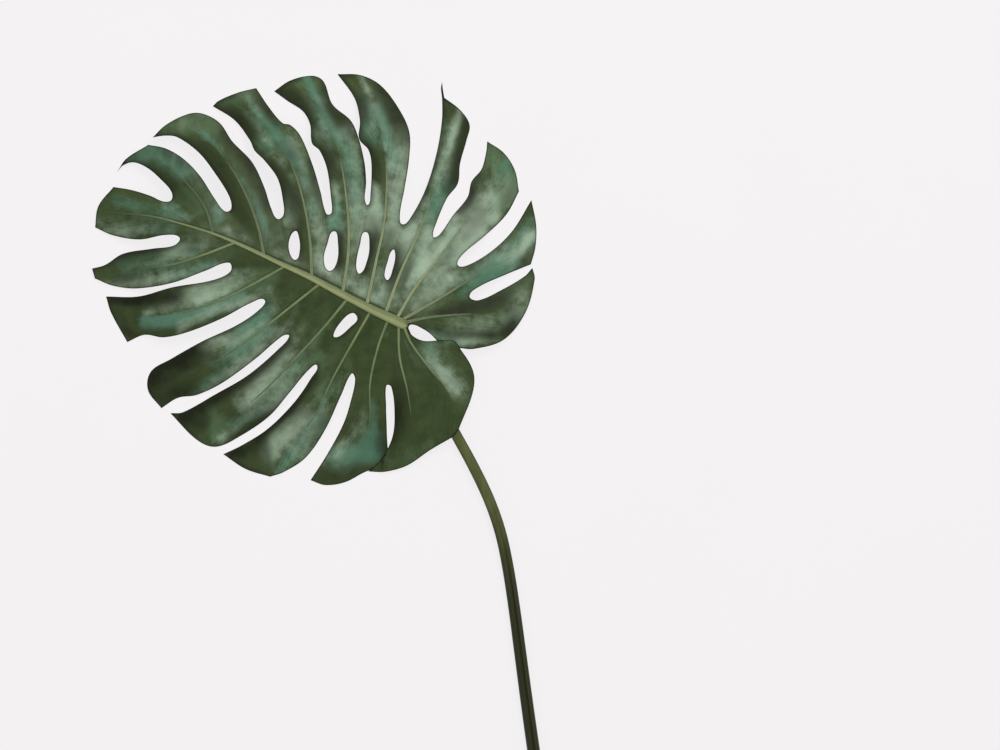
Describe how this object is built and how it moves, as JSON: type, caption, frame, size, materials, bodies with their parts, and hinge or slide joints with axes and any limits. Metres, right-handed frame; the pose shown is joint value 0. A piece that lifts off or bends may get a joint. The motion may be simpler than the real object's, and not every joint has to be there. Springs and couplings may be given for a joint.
{
  "type": "monstera leaf",
  "caption": "Large heart-shaped tropical leaf, slit from the edge into fingers and holed by the midrib, lying face up on its cut stalk.",
  "frame": {"origin": "centre of the whole leaf's bounding box, on the surface that it lies on", "axes": "+Z up, square to the surface and out of the leaf's upper face; +Y along the longest extent, from the cut end of the stalk towards the blade; +X to the right of a viewer who looks down with +Y up"},
  "size_m": [0.4574, 0.7337, 0.0376],
  "materials": {
    "blade": "waxy dark green leaf, satin gloss",
    "petiole": "smooth fresh green stalk, satin"
  },
  "bodies": {
    "root": {"blade": "blade", "petiole": "petiole"}
  },
  "joints": []
}
